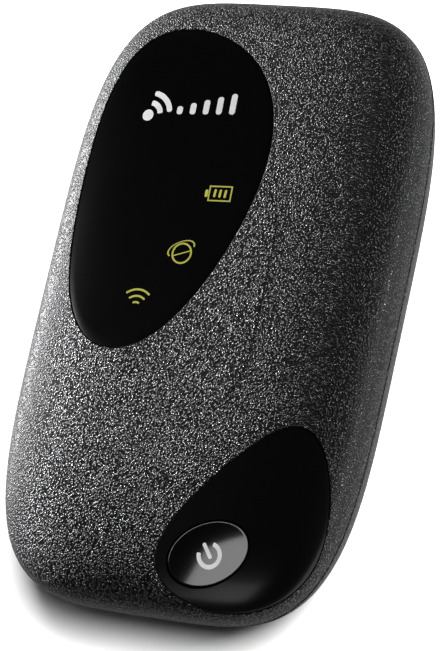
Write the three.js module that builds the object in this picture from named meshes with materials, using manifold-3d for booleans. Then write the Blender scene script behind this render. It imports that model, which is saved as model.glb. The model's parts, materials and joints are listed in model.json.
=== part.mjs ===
// Pocket mobile hotspot: a pebble-shaped, battery-powered router that lies on its back.
// Millimetres. +X is to the right of the front face, +Y is towards its top end and +Z is out
// of the front face. The origin is on the flat of the back, under the centre of the outline.

import * as THREE from 'three';
import { mergeVertices } from 'three/addons/utils/BufferGeometryUtils.js';
import Module from 'manifold-3d';

const wasm = await Module();
wasm.setup();

// Overall body
const bodyWidth = 56.7;
const bodyLength = 94;
const bodyThickness = 19.8;
const outlinePower = 4.17; // superellipse power of the plan outline
const outlineSegments = 76;

// The two halves of the case meet on a flat parting line
const seamHeight = 11.66;
const seamGap = 0.3;
const shellWall = 1.9;
const coverWall = 1.5;
const frontCrown = 4.6; // how far the front stays flat before it rolls over
const frontRoll = 3.16;
const frontRings = 8;
const backFlat = 0.5; // share of the outline that is exactly flat at the back
const backCrown = 3.87;
const backRoll = 1.27;
const backRings = 7;
const innerRings = 5;

// Clearances
const fitGap = 0.3; // between pieces that touch
const slideGap = 0.35; // around pieces that move
const solderGap = 0.1; // under what is soldered to the board
const coverClearance = 0.4; // between the frame and the inside of the rear cover
const tabClearance = 0.4; // between the tabs and the inside of the front shell
const lipClearance = 0.55; // between the lip and the inside of the rear cover
const antennaClearance = 0.35; // from the frame's edge in to the antennas
const boardClearance = 1; // from the frame's edge in to the board

// Gloss inserts in the front shell: egg outlines placed from the nearest edges
const insertThickness = 0.9;
const recessFloor = 0.7;
const windowFromLeft = 19.04;
const windowFromTop = 31.92;
const windowEgg = {
  tilt: 83.5, // of the long axis, anticlockwise from +X, in degrees
  reach: 25.31, // half length
  girth: 14.65, // half width
  taper: 0.211, // how much wider one end is
  fullness: 0.149, // how blunt both ends are
  bow: 0.148, // how far the outline leans to one side
  twist: 0.08, // how much the lean differs between the ends
};
const panelFromRight = 12.05;
const panelFromBottom = 13.94;
const panelEgg = {
  tilt: 57,
  reach: 15.08,
  girth: 9.71,
  taper: -0.181,
  fullness: -0.009,
  bow: 0.351,
  twist: -0.063,
};
const insertSkirt = 1.9; // lowest level of the inserts, above the parting line
const eggSegments = 60;
const sliverSize = 0.01; // facets thinner than this are merged away

// Power button in the lower insert
const buttonFromRight = 18.27;
const buttonFromBottom = 9.13;
const buttonHoleReach = 6.66;
const buttonHoleGirth = 4.56;
const buttonTilt = 26;
const buttonTravel = 0.3;
const flangeLip = 0.8;
const flangeThickness = 0.6;
const stemRadius = 1.6;

// Lip inside the front shell's rim, which closes the parting line from within
const lipThickness = 0.8;
const lipDrop = 1.2;
const lipRise = 0.8;

// Snap tabs that stand on the rear cover's rim
const tabThickness = 1;
const tabWidth = 7;
const tabRise = 1.1;
const tabDrop = 2.4;
const sideTabPitch = 36;

// Thumbnail notch in the rear cover's rim, at the top end
const notchWidth = 9;
const notchDepth = 0.8;
const notchHeight = 1.1;

// Inner frame with the battery bay
const framePlateBottom = 7.7;
const framePlateThickness = 1.2;
const bayWall = 1;
const baySide = 0.5; // clearance around the battery

// Battery
const batterySideMargin = 10.85;
const batteryTopMargin = 19.6;
const batteryBottom = 2.2;
const batteryCorner = 2.2;
const batteryCapLength = 3.2;
const labelThickness = 0.1;
const labelMargin = 3;

// Battery contacts
const contactCount = 3;
const contactPitch = 3;
const contactWidth = 1.4;
const contactThickness = 0.3;
const connectorDepth = 3.2;
const connectorWidth = 11;
const connectorDrop = 3.4;

// Circuit board and what is on it
const boardThickness = 1;
const shieldHeight = 1.9;
const shieldWall = 0.3;
const rfShieldLength = 25;
const rfShieldFromRight = 8.7;
const rfShieldFromHolder = 1.6;
const rfShieldFromTop = 32;
const cpuShieldWidth = 21;
const cpuShieldFromLeft = 22.4;
const cpuShieldFromBottom = 17.2;
const cpuShieldFromHolder = 3.2;
const switchSize = 4.6;
const switchHeight = 1.2;
const plungerRadius = 1.1;
const plungerRise = 0.5;
const resetFromRight = 18;
const resetFromTop = 11.5;
const resetRadius = 0.7;
const resetSize = 3.4;

// Indicator lights: the battery, internet and wireless icons, placed from the window's centre
const ledLength = 1.6;
const ledWidth = 0.8;
const ledHeight = 0.6;
const pipeLift = 0.3;
const lights = [
  { name: 'battery', x: 8.93, y: -0.14, width: 5.2, height: 3 },
  { name: 'internet', x: 4.78, y: -9.4, width: 4.6, height: 4.2 },
  { name: 'wifi', x: -0.62, y: -16.9, width: 4.8, height: 3.4 },
];
const pipeCorner = 0.8;
const holderHalfWidth = 4.6;

// Micro-USB socket in the left side
const usbFromTop = 50;
const usbWidth = 7.5;
const usbNarrow = 5.4;
const usbHeight = 2.5;
const usbDepth = 5.5;
const usbWall = 0.25;
const usbSetBack = 1;
const tongueWidth = 3.8;
const tongueThickness = 0.6;
const portMargin = 0.4;

// SIM card and its socket, on the back of the board
const simCardWidth = 15;
const simCardLength = 12;
const simCardThickness = 0.76;
const simSocketWall = 0.25;
const simSocketHeight = 1.6;
const simFromLeft = 20.2;
const simFromBottom = 14.8;
const simTravel = 12;
const simToConnector = 1.35;

// Frame screws and the bosses they enter
const bossRadius = 2.2;
const screwRadius = 0.8;
const screwHeadRadius = 1.6;
const screwHeadHeight = 0.8;
const screwLength = 5;
const topBossFromSide = 8.35;
const topBossFromTop = 14;
const lowBossFromSide = 6.35;
const lowBossFromBottom = 21;

// Antenna strips standing on the frame
const antennaThickness = 0.3;
const antennaHeight = 2.6;
const endAntennaWidth = 26;
const sideAntennaLength = 20;

// Levels that follow from the sizes above
const frontBase = seamHeight + seamGap / 2;
const backBase = seamHeight - seamGap / 2;
const plateTop = framePlateBottom + framePlateThickness;
const boardBottom = plateTop + fitGap;
const boardTop = boardBottom + boardThickness;
const partsLevel = boardTop + solderGap;
const plungerTop = partsLevel + switchHeight + plungerRise;
const recessDepth = insertThickness + fitGap;
const skirtLevel = frontBase + insertSkirt;
const batteryTop = framePlateBottom - labelThickness - fitGap;

// Distances in from the outline that follow from the walls
const lipInset = coverWall + lipClearance;
const tabInset = shellWall + tabClearance;
const frameInset = tabInset + tabThickness + fitGap;
const antennaInset = frameInset + antennaClearance;
const boardInset = frameInset + boardClearance;

// Places that follow from the sizes above
const left = (distance) => distance - bodyWidth / 2;
const right = (distance) => bodyWidth / 2 - distance;
const top = (distance) => bodyLength / 2 - distance;
const bottom = (distance) => distance - bodyLength / 2;
const windowX = left(windowFromLeft);
const windowY = top(windowFromTop);
const panelX = right(panelFromRight);
const panelY = bottom(panelFromBottom);
const buttonX = right(buttonFromRight);
const buttonY = bottom(buttonFromBottom);
const batteryHalf = bodyWidth / 2 - batterySideMargin;
const batteryHigh = top(batteryTopMargin);
const simTopEdge = bottom(simFromBottom) + simCardLength / 2 + simSocketWall + fitGap;
const batteryLow = simTopEdge + simToConnector + connectorDepth + baySide;
const batteryMid = (batteryHigh + batteryLow) / 2;
const batteryLength = batteryHigh - batteryLow;
const bossPlaces = [
  [left(topBossFromSide), top(topBossFromTop)],
  [right(topBossFromSide), top(topBossFromTop)],
  [left(lowBossFromSide), bottom(lowBossFromBottom)],
  [right(lowBossFromSide), bottom(lowBossFromBottom)],
];

// ---------------------------------------------------------------- solids and meshes

function toSolid(geometry) {
  const bare = geometry.clone();
  bare.deleteAttribute('normal');
  bare.deleteAttribute('uv');
  const merged = mergeVertices(bare, 1e-4);
  const points = Float32Array.from(merged.getAttribute('position').array);
  const corners = [];
  let volume = 0;
  for (let i = 0; i < merged.index.count; i += 3) {
    const [a, b, c] = [0, 1, 2].map((k) => merged.index.getX(i + k));
    if (a === b || b === c || c === a) continue;
    const [p, q, r] = [a, b, c].map((k) => new THREE.Vector3().fromArray(points, 3 * k));
    volume += p.dot(q.cross(r));
    corners.push(a, b, c);
  }
  const order = volume < 0 ? corners.reverse() : corners;
  const triVerts = Uint32Array.from(order);
  return new wasm.Manifold(new wasm.Mesh({ numProp: 3, vertProperties: points, triVerts }));
}

function toGeometry(solid) {
  const mesh = solid.getMesh();
  const geometry = new THREE.BufferGeometry();
  geometry.setAttribute('position', new THREE.BufferAttribute(mesh.vertProperties, 3));
  geometry.setIndex(new THREE.BufferAttribute(mesh.triVerts, 1));
  geometry.computeVertexNormals();
  return geometry;
}

const group = new THREE.Group();

function addMesh(name, solid, material) {
  const mesh = new THREE.Mesh(toGeometry(solid), material);
  mesh.name = name;
  group.add(mesh);
}

function surface(color, roughness, metalness = 0) {
  return new THREE.MeshStandardMaterial({ color, roughness, metalness });
}

// ---------------------------------------------------------------- shared shapes

function loopSolid(points, low, high, holes = []) {
  const shape = new THREE.Shape(points);
  shape.holes = holes.map((hole) => new THREE.Path(hole));
  const geometry = new THREE.ExtrudeGeometry(shape, { depth: high - low, bevelEnabled: false });
  return toSolid(geometry.translate(0, 0, low));
}

function block(x, y, low, high, width, length) {
  const geometry = new THREE.BoxGeometry(width, length, high - low);
  return toSolid(geometry.translate(x, y, (low + high) / 2));
}

function rod(x, y, low, high, radius, segments = 20) {
  const geometry = new THREE.CylinderGeometry(radius, radius, high - low, segments);
  return toSolid(geometry.rotateX(Math.PI / 2).translate(x, y, (low + high) / 2));
}

function arcPoints(x, y, radius, start, end, steps = 5) {
  return Array.from({ length: steps + 1 }, (_, i) => {
    const turn = start + ((end - start) * i) / steps;
    return new THREE.Vector2(x + radius * Math.cos(turn), y + radius * Math.sin(turn));
  });
}

function roundedLoop(x, y, width, length, corner) {
  const w = width / 2 - corner;
  const l = length / 2 - corner;
  const centres = [[x + w, y + l], [x - w, y + l], [x - w, y - l], [x + w, y - l]];
  return centres.flatMap(([cx, cy], i) => {
    return arcPoints(cx, cy, corner, (i * Math.PI) / 2, ((i + 1) * Math.PI) / 2);
  });
}

function outlineRadius(angle, inset) {
  const across = Math.abs(Math.cos(angle)) / (bodyWidth / 2 - inset);
  const along = Math.abs(Math.sin(angle)) / (bodyLength / 2 - inset);
  return (across ** outlinePower + along ** outlinePower) ** (-1 / outlinePower);
}

function outlineAngle(turn) {
  return Math.atan2(bodyLength * Math.sin(turn), bodyWidth * Math.cos(turn));
}

function outlineLoop(inset) {
  return Array.from({ length: outlineSegments }, (_, i) => {
    const angle = outlineAngle((2 * Math.PI * i) / outlineSegments);
    const radius = outlineRadius(angle, inset);
    return new THREE.Vector2(radius * Math.cos(angle), radius * Math.sin(angle));
  });
}

// A turned profile of [share of the outline, level] whose round plan is stretched to the outline
function pebble(profile, inset) {
  const points = profile.map(([share, level]) => new THREE.Vector2(share, level));
  const geometry = new THREE.LatheGeometry(points, outlineSegments);
  const position = geometry.getAttribute('position');
  for (let i = 0; i < position.count; i += 1) {
    const share = Math.hypot(position.getX(i), position.getZ(i));
    const angle = outlineAngle(Math.atan2(position.getZ(i), position.getX(i)));
    const radius = share * outlineRadius(angle, inset);
    const level = position.getY(i);
    position.setXYZ(i, radius * Math.cos(angle), radius * Math.sin(angle), level);
  }
  return toSolid(geometry);
}

// Share of the outline and level of one ring of the front, from the centre (0) to the rim
function frontRing(index, rings, inset) {
  const turn = (index / rings) * (Math.PI / 2);
  const rise = bodyThickness - inset - frontBase;
  const level = frontBase + rise * Math.max(0, Math.cos(turn)) ** (2 / frontRoll);
  return [Math.sin(turn) ** (2 / frontCrown), level];
}

function frontPebble(inset, floor = frontBase, rings = frontRings) {
  const profile = [[0, floor], [1, floor]];
  if (floor < frontBase) profile.push([1, frontBase]);
  for (let i = rings - 1; i >= 0; i -= 1) {
    profile.push(frontRing(i, rings, inset));
  }
  return pebble(profile, inset);
}

function backPebble(inset, ceiling = backBase, rings = backRings) {
  const drop = backBase - inset;
  const profile = [[0, ceiling], [1, ceiling]];
  if (ceiling > backBase) profile.push([1, backBase]);
  for (let i = rings - 1; i >= 0; i -= 1) {
    const turn = (i / rings) * (Math.PI / 2);
    const share = backFlat + (1 - backFlat) * Math.sin(turn) ** (2 / backCrown);
    profile.push([share, backBase - drop * Math.cos(turn) ** (2 / backRoll)]);
  }
  profile.push([0, inset]);
  return pebble(profile, inset);
}

// Level of a ringed front surface above a place in the plan
function frontLevel(x, y, inset, rings) {
  const across = Math.abs(x) / (bodyWidth / 2 - inset);
  const along = Math.abs(y) / (bodyLength / 2 - inset);
  const share = Math.min(1, (across ** outlinePower + along ** outlinePower) ** (1 / outlinePower));
  let index = 1;
  while (index < rings && frontRing(index, rings, inset)[0] < share) index += 1;
  const [outerShare, outerLevel] = frontRing(index, rings, inset);
  const [innerShare, innerLevel] = frontRing(index - 1, rings, inset);
  return THREE.MathUtils.mapLinear(share, innerShare, outerShare, innerLevel, outerLevel);
}

// An egg outline that can lean and bend, grown or shrunk along its own normal
function eggLoop(x, y, egg, grow = 0) {
  const tilt = THREE.MathUtils.degToRad(egg.tilt);
  const centre = new THREE.Vector2(x, y);
  const points = Array.from({ length: eggSegments }, (_, i) => {
    const turn = (2 * Math.PI * i) / eggSegments;
    const c = Math.cos(turn);
    const width = Math.sin(turn) * (1 + egg.taper * c + egg.fullness * c * c);
    const bend = egg.bow * c * c + egg.twist * c * c * c;
    const point = new THREE.Vector2(egg.reach * c, egg.girth * (width + bend));
    return point.rotateAround(new THREE.Vector2(), tilt).add(centre);
  });
  return grownLoop(points, grow);
}

function grownLoop(points, grow) {
  return points.map((point, i) => {
    const before = points[(i + points.length - 1) % points.length];
    const after = points[(i + 1) % points.length];
    const along = after.clone().sub(before).normalize();
    return new THREE.Vector2(point.x + grow * along.y, point.y - grow * along.x);
  });
}

const windowLoop = (grow) => eggLoop(windowX, windowY, windowEgg, grow);
const panelLoop = (grow) => eggLoop(panelX, panelY, panelEgg, grow);

function buttonLoop(grow) {
  const round = { tilt: buttonTilt, reach: buttonHoleReach, girth: buttonHoleGirth };
  return eggLoop(buttonX, buttonY, { ...round, taper: 0, fullness: 0, bow: 0, twist: 0 }, grow);
}

const lightPlaces = lights.map((light) => ({ ...light, x: windowX + light.x, y: windowY + light.y }));

function lightLoop(light, grow) {
  return roundedLoop(light.x, light.y, light.width + 2 * grow, light.height + 2 * grow, pipeCorner);
}

// ---------------------------------------------------------------- case

function usbOpening() {
  const half = usbWidth / 2 + portMargin;
  const low = partsLevel - portMargin;
  const high = partsLevel + usbHeight + portMargin;
  return block(left(shellWall), top(usbFromTop), low, high, 4 * shellWall, 2 * half);
}

// The tabs of the rear cover stand at the middle of each end and at two places on each side
function tabZones(margin) {
  const width = tabWidth + 2 * margin;
  const sides = [-sideTabPitch / 2, sideTabPitch / 2];
  const zones = sides.map((y) => block(0, y, 0, bodyThickness, 2 * bodyWidth, width));
  return [...zones, block(0, 0, 0, bodyThickness, width, 2 * bodyLength)];
}

function shellLip() {
  const low = frontBase - lipDrop;
  const high = frontBase + lipRise;
  const lower = loopSolid(outlineLoop(lipInset), low, high);
  const root = loopSolid(outlineLoop(shellWall / 2), frontBase, high);
  const core = loopSolid(outlineLoop(lipInset + lipThickness), low - 1, high + 1);
  let lip = lower.add(root).subtract(core).intersect(frontPebble(shellWall / 2, low - 1, innerRings));
  for (const zone of tabZones(slideGap)) {
    lip = lip.subtract(zone);
  }
  return lip;
}

function frontShell() {
  const hollow = frontPebble(shellWall, frontBase - 1, innerRings);
  let shell = frontPebble(0).subtract(hollow).add(shellLip());
  const ceiling = frontPebble(shellWall - fitGap, 0, innerRings);
  for (const [x, y] of bossPlaces) {
    shell = shell.add(rod(x, y, plateTop + fitGap, bodyThickness, bossRadius).intersect(ceiling));
  }
  const seat = frontPebble(recessDepth, frontBase - 1, innerRings);
  for (const loop of [windowLoop(0), panelLoop(0)]) {
    const recess = loopSolid(loop, skirtLevel - fitGap, bodyThickness + 1).subtract(seat);
    shell = shell.subtract(recess);
  }
  for (const light of lightPlaces) {
    shell = shell.subtract(loopSolid(lightLoop(light, fitGap), frontBase, bodyThickness + 1));
  }
  shell = shell.subtract(loopSolid(buttonLoop(0), frontBase, bodyThickness + 1));
  const boreTop = framePlateBottom + screwLength + fitGap;
  for (const [x, y] of bossPlaces) {
    shell = shell.subtract(rod(x, y, plateTop, boreTop, screwRadius + fitGap));
  }
  return shell.subtract(usbOpening());
}

function displayWindow() {
  const slab = frontPebble(0).subtract(frontPebble(insertThickness, frontBase - 1));
  return slab.intersect(loopSolid(windowLoop(-seamGap / 2), skirtLevel, bodyThickness + 1));
}

function buttonPanel() {
  const slab = frontPebble(0).subtract(frontPebble(insertThickness, frontBase - 1));
  const loop = loopSolid(panelLoop(-seamGap / 2), skirtLevel, bodyThickness + 1);
  const hole = loopSolid(buttonLoop(0), frontBase, bodyThickness + 1);
  return slab.intersect(loop).subtract(hole);
}

function rearCover() {
  let cover = backPebble(0).subtract(backPebble(coverWall, backBase + 1, innerRings));
  const root = backBase - tabDrop;
  const skin = backPebble(coverWall / 2, seamHeight + tabRise, innerRings);
  const tabSkin = frontPebble(tabInset, 0, innerRings);
  const stand = loopSolid(outlineLoop(tabInset), root, seamHeight + tabRise).intersect(tabSkin);
  const bridge = loopSolid(outlineLoop(coverWall / 2), root, backBase);
  const core = loopSolid(outlineLoop(tabInset + tabThickness), root - 1, seamHeight + tabRise + 1);
  const ring = stand.add(bridge).subtract(core).intersect(skin);
  for (const zone of tabZones(0)) {
    cover = cover.add(ring.intersect(zone));
  }
  const notch = block(0, top(0), seamHeight - notchHeight, seamHeight, notchWidth, 2 * notchDepth);
  return cover.subtract(usbOpening()).subtract(notch);
}

// ---------------------------------------------------------------- power button

const flangeTop = lowestCeiling() - fitGap;
const flangeBottom = flangeTop - flangeThickness;

function lowestCeiling() {
  const levels = buttonLoop(flangeLip).map(({ x, y }) => frontLevel(x, y, shellWall, innerRings));
  return Math.min(...levels);
}

function powerButton() {
  const cap = loopSolid(buttonLoop(-slideGap), flangeBottom, bodyThickness + 1).intersect(frontPebble(0));
  const flange = loopSolid(buttonLoop(flangeLip - slideGap), flangeBottom, flangeTop);
  const stem = rod(buttonX, buttonY, plungerTop + solderGap, flangeBottom + flangeThickness / 2, stemRadius);
  return cap.add(flange).add(stem);
}

function powerSwitch() {
  const body = block(buttonX, buttonY, partsLevel, partsLevel + switchHeight, switchSize, switchSize);
  return body.subtract(rod(buttonX, buttonY, partsLevel + fitGap, plungerTop, plungerRadius + fitGap));
}

function powerPlunger() {
  return rod(buttonX, buttonY, partsLevel + fitGap + buttonTravel + solderGap, plungerTop, plungerRadius);
}

// ---------------------------------------------------------------- frame and battery

function simPlace() {
  const x = left(simFromLeft);
  const y = bottom(simFromBottom);
  const socketTop = boardBottom - solderGap;
  return { x, y, high: socketTop, low: socketTop - simSocketHeight };
}

function connectorPlace() {
  const high = boardBottom - solderGap;
  const y = batteryLow - baySide - connectorDepth / 2;
  return { y, high, low: framePlateBottom - connectorDrop };
}

function frameCutouts() {
  const sim = simPlace();
  const connector = connectorPlace();
  const simLength = simCardLength + 2 * (simSocketWall + fitGap + fitGap);
  const simReach = simSocketWall + fitGap + simCardWidth + simTravel + 2 * slideGap;
  const width = connectorWidth + 2 * fitGap;
  const depth = connectorDepth + 2 * fitGap;
  const simX = sim.x - simCardWidth / 2 - slideGap + simReach / 2;
  const screws = bossPlaces.map(([x, y]) => rod(x, y, 0, plateTop + 1, screwRadius + fitGap));
  const resetX = right(resetFromRight);
  const resetY = top(resetFromTop);
  const resetHole = block(resetX, resetY, 0, plateTop + 1, resetSize + 2 * fitGap, resetSize + 2 * fitGap);
  const simHole = block(simX, sim.y, 0, plateTop + 1, simReach, simLength);
  const connectorHole = block(0, connector.y, connector.low - fitGap, plateTop + 1, width, depth);
  return [...screws, resetHole, simHole, connectorHole];
}

function midFrame() {
  const plate = loopSolid(outlineLoop(frameInset), framePlateBottom, plateTop);
  const inner = { width: 2 * (batteryHalf + baySide), length: batteryLength + 2 * baySide };
  const outer = { width: inner.width + 2 * bayWall, length: inner.length + 2 * bayWall };
  const outerLoop = roundedLoop(0, batteryMid, outer.width, outer.length, batteryCorner + bayWall);
  const innerLoop = roundedLoop(0, batteryMid, inner.width, inner.length, batteryCorner);
  const bay = loopSolid(outerLoop, batteryBottom, framePlateBottom + bayWall / 2, [innerLoop]);
  let frame = plate.add(bay).intersect(backPebble(coverWall + coverClearance, backBase));
  for (const cutout of frameCutouts()) {
    frame = frame.subtract(cutout);
  }
  return frame;
}

const batteryEdge = 0.5;

// The stretch of the rounded battery pack between two places along its length
function batteryStretch(from, to) {
  const width = 2 * (batteryHalf - batteryEdge);
  const corner = batteryCorner - batteryEdge;
  const loop = roundedLoop(0, batteryMid, width, batteryLength - 2 * batteryEdge, corner);
  const depth = batteryTop - batteryBottom - 2 * batteryEdge;
  const bevel = { bevelThickness: batteryEdge, bevelSize: batteryEdge, bevelSegments: 2 };
  const geometry = new THREE.ExtrudeGeometry(new THREE.Shape(loop), { depth, ...bevel });
  const pack = toSolid(geometry.translate(0, 0, batteryBottom + batteryEdge));
  return pack.intersect(block(0, (from + to) / 2, 0, bodyThickness, bodyWidth, to - from));
}

function contactX(index) {
  return (index - (contactCount - 1) / 2) * contactPitch;
}

const contactLow = batteryBottom + 1.6;
const contactHigh = contactLow + 2;

function batteryCap() {
  let cap = batteryStretch(batteryLow, batteryLow + batteryCapLength);
  for (let i = 0; i < contactCount; i += 1) {
    const width = contactWidth + 2 * fitGap;
    const pocket = block(contactX(i), batteryLow, contactLow - fitGap, contactHigh + fitGap, width, 1.6);
    cap = cap.subtract(pocket);
  }
  return cap;
}

function batteryPad(index) {
  const y = batteryLow + 0.35;
  return block(contactX(index), y, contactLow, contactHigh, contactWidth, contactThickness);
}

function batteryConnector() {
  const place = connectorPlace();
  let body = block(0, place.y, place.low, place.high, connectorWidth, connectorDepth);
  for (let i = 0; i < contactCount; i += 1) {
    const y = place.y + connectorDepth / 2;
    const slot = block(contactX(i), y, place.low - 1, place.high - 1, contactWidth + 2 * fitGap, 2.4);
    body = body.subtract(slot);
  }
  return body;
}

// A spring leaf that bulges out of the connector towards the battery
function batterySpring(index) {
  const place = connectorPlace();
  const back = place.y + connectorDepth / 2 - 0.9 + fitGap;
  const height = place.high - 1.5 - place.low;
  const bulge = new THREE.Shape();
  bulge.moveTo(0, 0);
  bulge.quadraticCurveTo(1.8, height / 2, 0, height);
  bulge.lineTo(-contactThickness, height);
  bulge.quadraticCurveTo(1.8 - contactThickness, height / 2, -contactThickness, 0);
  const leaf = { depth: contactWidth, bevelEnabled: false, curveSegments: 6 };
  const geometry = new THREE.ExtrudeGeometry(bulge, leaf);
  geometry.rotateX(Math.PI / 2).rotateZ(Math.PI / 2);
  geometry.translate(contactX(index) - contactWidth / 2, back, place.low + 0.2);
  return toSolid(geometry);
}

// ---------------------------------------------------------------- board and sockets

function mainBoard() {
  let board = loopSolid(outlineLoop(boardInset), boardBottom, boardTop);
  for (const [x, y] of bossPlaces) {
    board = board.subtract(rod(x, y, 0, bodyThickness, bossRadius + fitGap));
  }
  return board;
}

function shieldCan(x, y, width, length) {
  const lid = block(x, y, partsLevel, partsLevel + shieldHeight, width, length);
  const hollow = [width - 2 * shieldWall, length - 2 * shieldWall];
  return lid.subtract(block(x, y, 0, partsLevel + shieldHeight - shieldWall, ...hollow));
}

function lightPipe(light) {
  const low = partsLevel + ledHeight + pipeLift;
  const pipe = loopSolid(lightLoop(light, 0), low, bodyThickness);
  return pipe.intersect(frontPebble(recessDepth, 0, innerRings)).simplify(sliverSize);
}

function lightHolder() {
  const first = lightPlaces[0];
  const last = lightPlaces[lightPlaces.length - 1];
  const lean = Math.atan2(first.y - last.y, first.x - last.x);
  const half = Math.PI / 2;
  const outline = [
    ...arcPoints(first.x, first.y, holderHalfWidth, lean - half, lean + half, 10),
    ...arcPoints(last.x, last.y, holderHalfWidth, lean + half, lean + 3 * half, 10),
  ];
  const low = partsLevel + pipeLift;
  let holder = loopSolid(outline, low, bodyThickness);
  holder = holder.intersect(frontPebble(shellWall + fitGap, 0, innerRings));
  for (const light of lightPlaces) {
    holder = holder.subtract(loopSolid(lightLoop(light, fitGap), 0, bodyThickness));
  }
  return holder;
}

function usbLoop(shrink) {
  const wide = usbWidth / 2 - shrink;
  const narrow = usbNarrow / 2 - shrink * 0.7;
  const low = shrink;
  const high = usbHeight - shrink;
  const step = usbHeight * 0.45;
  const outline = [[-wide, high], [-wide, step], [-narrow, low], [narrow, low], [wide, step], [wide, high]];
  return outline.map(([y, z]) => new THREE.Vector2(y, z));
}

function usbTube(shape, x, length) {
  const geometry = new THREE.ExtrudeGeometry(shape, { depth: length, bevelEnabled: false });
  geometry.rotateX(Math.PI / 2).rotateZ(Math.PI / 2);
  return toSolid(geometry.translate(x, top(usbFromTop), partsLevel));
}

function usbSocket() {
  const shape = new THREE.Shape(usbLoop(0));
  shape.holes = [new THREE.Path(usbLoop(usbWall))];
  return usbTube(shape, left(usbSetBack), usbDepth);
}

function usbTongue() {
  const inner = usbWall + 1.5 * solderGap;
  const back = usbTube(new THREE.Shape(usbLoop(inner)), left(usbSetBack) + usbDepth - 1.4, 1.3);
  const middle = partsLevel + usbHeight * 0.62;
  const start = left(usbSetBack) + 0.8;
  const end = left(usbSetBack) + usbDepth - 1;
  const y = top(usbFromTop);
  const low = middle - tongueThickness / 2;
  return back.add(block((start + end) / 2, y, low, low + tongueThickness, end - start, tongueWidth));
}

function simSocket() {
  const place = simPlace();
  const width = simCardWidth - 1.2;
  const length = simCardLength + 2 * (simSocketWall + fitGap);
  const x = place.x - simCardWidth / 2 + width / 2;
  const cage = block(x, place.y, place.low, place.high, width, length);
  const inside = simCardLength + 2 * fitGap;
  const low = place.low + simSocketWall;
  const high = place.high - simSocketWall;
  return cage.subtract(block(x + simSocketWall + 2, place.y, low, high, width + 4 - simSocketWall, inside));
}

function simCard() {
  const place = simPlace();
  const middle = (place.low + place.high) / 2;
  const x = place.x - simCardWidth / 2 + simSocketWall + fitGap;
  const shape = new THREE.Shape();
  shape.moveTo(x + 2, place.y - simCardLength / 2);
  shape.lineTo(x + simCardWidth, place.y - simCardLength / 2);
  shape.lineTo(x + simCardWidth, place.y + simCardLength / 2);
  shape.lineTo(x, place.y + simCardLength / 2);
  shape.lineTo(x, place.y - simCardLength / 2 + 2);
  return loopSolid(shape.getPoints(), middle - simCardThickness / 2, middle + simCardThickness / 2);
}

const resetTop = boardBottom - solderGap;
const resetBodyLow = resetTop - switchHeight;

function resetSwitch() {
  const x = right(resetFromRight);
  const y = top(resetFromTop);
  const body = block(x, y, resetBodyLow, resetTop, resetSize, resetSize);
  return body.subtract(rod(x, y, resetBodyLow - 1, resetTop - fitGap, resetRadius + fitGap));
}

function resetPlunger() {
  const x = right(resetFromRight);
  const y = top(resetFromTop);
  return rod(x, y, resetBodyLow - plungerRise, resetTop - fitGap - buttonTravel - solderGap, resetRadius);
}

function frameScrew(x, y) {
  const headTop = framePlateBottom - solderGap;
  const profile = [
    [0, headTop - screwHeadHeight],
    [screwHeadRadius, headTop - screwHeadHeight],
    [screwHeadRadius, headTop],
    [screwRadius, headTop],
    [screwRadius, headTop + screwLength],
    [0, headTop + screwLength],
  ];
  const points = profile.map(([radius, level]) => new THREE.Vector2(radius, level));
  const geometry = new THREE.LatheGeometry(points, 20);
  const slot = screwHeadHeight / 2;
  const low = headTop - screwHeadHeight - 1;
  const screw = toSolid(geometry.rotateX(Math.PI / 2).translate(x, y, 0));
  const cross = block(x, y, low, low + 1 + slot, 1.8, 0.4).add(block(x, y, low, low + 1 + slot, 0.4, 1.8));
  return screw.subtract(cross);
}

function antenna(x, y, width, length) {
  const outer = loopSolid(outlineLoop(antennaInset), plateTop + solderGap, plateTop + antennaHeight);
  const inner = loopSolid(outlineLoop(antennaInset + antennaThickness), 0, bodyThickness);
  return outer.subtract(inner).intersect(block(x, y, 0, bodyThickness, width, length));
}

// ---------------------------------------------------------------- assembly

const moulded = surface(0x4a4b4e, 0.62);
const gloss = surface(0x08080a, 0.12);
const darkPlastic = surface(0x1d1e20, 0.5);
const framePlastic = surface(0x2a2b2e, 0.6);
const greenBoard = surface(0x1d4a34, 0.45);
const steel = surface(0xb9bcc0, 0.3, 1);
const gold = surface(0xc9a24a, 0.3, 1);
const clear = surface(0xdfe4e2, 0.25);
const cellWrap = surface(0xc4c7ca, 0.4);
const card = surface(0xe9e9e6, 0.45);
const paper = surface(0xe4e3dd, 0.8);
const ledGreen = surface(0xd2d64a, 0.4);

addMesh('rear_cover', rearCover(), moulded);
addMesh('front_shell', frontShell(), moulded);
addMesh('display_window', displayWindow(), gloss);
addMesh('button_panel', buttonPanel(), gloss);
addMesh('power_button', powerButton(), gloss);
addMesh('power_plunger', powerPlunger(), darkPlastic);
addMesh('power_switch', powerSwitch(), steel);
addMesh('mid_frame', midFrame(), framePlastic);
addMesh('main_board', mainBoard(), greenBoard);

const rfLeft = lightPlaces[0].x + holderHalfWidth + rfShieldFromHolder;
const rfWidth = right(rfShieldFromRight) - rfLeft;
const rfY = top(rfShieldFromTop);
addMesh('rf_shield', shieldCan(rfLeft + rfWidth / 2, rfY, rfWidth, rfShieldLength), steel);
const cpuLow = bottom(cpuShieldFromBottom);
const cpuLength = lightPlaces[2].y - holderHalfWidth - cpuShieldFromHolder - cpuLow;
const cpuX = left(cpuShieldFromLeft);
addMesh('cpu_shield', shieldCan(cpuX, cpuLow + cpuLength / 2, cpuShieldWidth, cpuLength), steel);

addMesh('light_holder', lightHolder(), darkPlastic);
for (const light of lightPlaces) {
  addMesh(`light_pipe_${light.name}`, lightPipe(light), clear);
  const led = block(light.x, light.y, partsLevel, partsLevel + ledHeight, ledLength, ledWidth);
  addMesh(`led_${light.name}`, led, ledGreen);
}

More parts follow.
